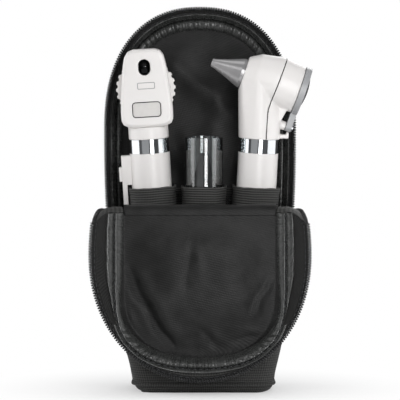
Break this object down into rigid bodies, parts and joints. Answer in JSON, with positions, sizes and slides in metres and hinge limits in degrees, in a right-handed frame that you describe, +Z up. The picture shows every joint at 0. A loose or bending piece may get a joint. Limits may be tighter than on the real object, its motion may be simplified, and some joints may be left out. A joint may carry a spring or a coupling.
{
  "type": "otoscope carry case",
  "caption": "Soft zipped carry case standing open, its cover folded down, with elastic loops holding a battery ophthalmoscope, an otoscope and a specula tube.",
  "frame": {"origin": "middle of the foot's underside, on the ground", "axes": "+Z up, +Y from the cover to the back panel, +X to the right of a viewer who faces the cover"},
  "size_m": [0.1096, 0.069, 0.1919],
  "materials": {
    "shell_nylon": "woven nylon",
    "lining_nylon": "fine twill",
    "satin_binding": "satin",
    "zip_tape": "woven tape",
    "nylon_coil": "moulded coil",
    "foot_board": "matte",
    "elastic": "ribbed elastic",
    "slider_metal": "black painted",
    "white_plastic": "satin",
    "bright_ring": "polished",
    "battery_case": "satin",
    "spring_steel": "plain",
    "badge": "satin",
    "lens_glass": "clear",
    "lamp_glass": "clear",
    "black_rubber": "matte",
    "grey_plastic": "gloss",
    "dark_plastic": "gloss",
    "speculum_grey": "gloss",
    "clear_plastic": "clear"
  },
  "bodies": {
    "case": {"back_panel": "shell_nylon", "back_lining": "lining_nylon", "back_wall_gusset": "shell_nylon", "back_binding": "satin_binding", "back_zip_tape": "zip_tape", "back_zip_coil": "nylon_coil", "pouch_wall": "shell_nylon", "pouch_lining": "lining_nylon", "front_hem": "lining_nylon", "foot_board": "foot_board", "band_strip": "elastic", "left_loop": "elastic", "tube_loop": "elastic", "right_loop": "elastic", "zip_slider": "slider_metal", "fold_web": "lining_nylon", "left_ear": "shell_nylon", "right_ear": "shell_nylon"},
    "cover": {"cover_panel": "shell_nylon", "cover_lining": "lining_nylon", "cover_gusset": "shell_nylon", "cover_binding": "satin_binding", "cover_zip_tape": "zip_tape", "cover_zip_coil": "nylon_coil"},
    "pull_tab": {"slider_tab": "slider_metal"},
    "ophthalmoscope": {"ophthalmoscope_handle": "white_plastic", "ophthalmoscope_cap": "white_plastic", "ophthalmoscope_ring": "bright_ring", "ophthalmoscope_batteries": "battery_case", "ophthalmoscope_spring": "spring_steel", "ophthalmoscope_clip": "white_plastic", "head_rear_shell": "white_plastic", "head_front_cover": "white_plastic", "head_badge": "badge", "aperture_mirror": "lens_glass", "ophthalmoscope_lamp": "lamp_glass", "brow_rest": "black_rubber"},
    "ophthalmoscope_slider": {"ophthalmoscope_switch": "white_plastic"},
    "dial": {"lens_dial": "white_plastic", "dial_lenses": "lens_glass"},
    "otoscope": {"otoscope_handle": "white_plastic", "otoscope_cap": "white_plastic", "otoscope_ring": "bright_ring", "otoscope_batteries": "battery_case", "otoscope_spring": "spring_steel", "otoscope_clip": "white_plastic", "otoscope_front_shell": "white_plastic", "otoscope_rear_shell": "white_plastic", "window_pin": "spring_steel", "tip_mount": "dark_plastic", "otoscope_lamp": "lamp_glass"},
    "otoscope_slider": {"otoscope_switch": "white_plastic"},
    "window": {"window_frame": "grey_plastic", "window_lens": "lens_glass"},
    "tip": {"speculum": "speculum_grey"},
    "spares": {"specula_tube": "clear_plastic", "tube_cap": "dark_plastic", "spare_specula": "dark_plastic"}
  },
  "joints": [
    {"name": "cover_fold", "type": "hinge", "parent": "case", "child": "cover", "pos_m": [0, -0.0275, 0.093], "axis": [1, 0, 0], "range_deg": [-172, 0], "deforming": ["fold_web", "left_ear", "right_ear"]},
    {"name": "ophthalmoscope_lift", "type": "slide", "parent": "case", "child": "ophthalmoscope", "axis": [-0.0573, -0.0958, 0.9937], "range_m": [0, 0.1]},
    {"name": "otoscope_lift", "type": "slide", "parent": "case", "child": "otoscope", "axis": [0.0521, -0.0958, 0.994], "range_m": [0, 0.1]},
    {"name": "tube_lift", "type": "slide", "parent": "case", "child": "spares", "axis": [0, -0.0958, 0.9954], "range_m": [0, 0.026]},
    {"name": "lens_dial_turn", "type": "hinge", "parent": "ophthalmoscope", "child": "dial", "pos_m": [-0.02699, -0.00124, 0.14968], "axis": [-0.0055, 0.9954, 0.0957], "continuous": true},
    {"name": "ophthalmoscope_switch_slide", "type": "slide", "parent": "ophthalmoscope", "child": "ophthalmoscope_slider", "axis": [-0.0573, -0.0958, 0.9937], "range_m": [0, 0.003]},
    {"name": "otoscope_switch_slide", "type": "slide", "parent": "otoscope", "child": "otoscope_slider", "axis": [0.0521, -0.0958, 0.994], "range_m": [0, 0.003]},
    {"name": "window_swing", "type": "hinge", "parent": "otoscope", "child": "window", "pos_m": [0.044, 0.00054, 0.13047], "axis": [0.9433, 0.0271, -0.3309], "range_deg": [0, 75]},
    {"name": "speculum_pull", "type": "slide", "parent": "otoscope", "child": "tip", "axis": [-0.9433, -0.0271, 0.3309], "range_m": [0, 0.022]},
    {"name": "pull_tab_swing", "type": "hinge", "parent": "case", "child": "pull_tab", "pos_m": [0.05144, 0.0125, 0.0831], "axis": [0, -1, 0], "range_deg": [0, 150]}
  ]
}
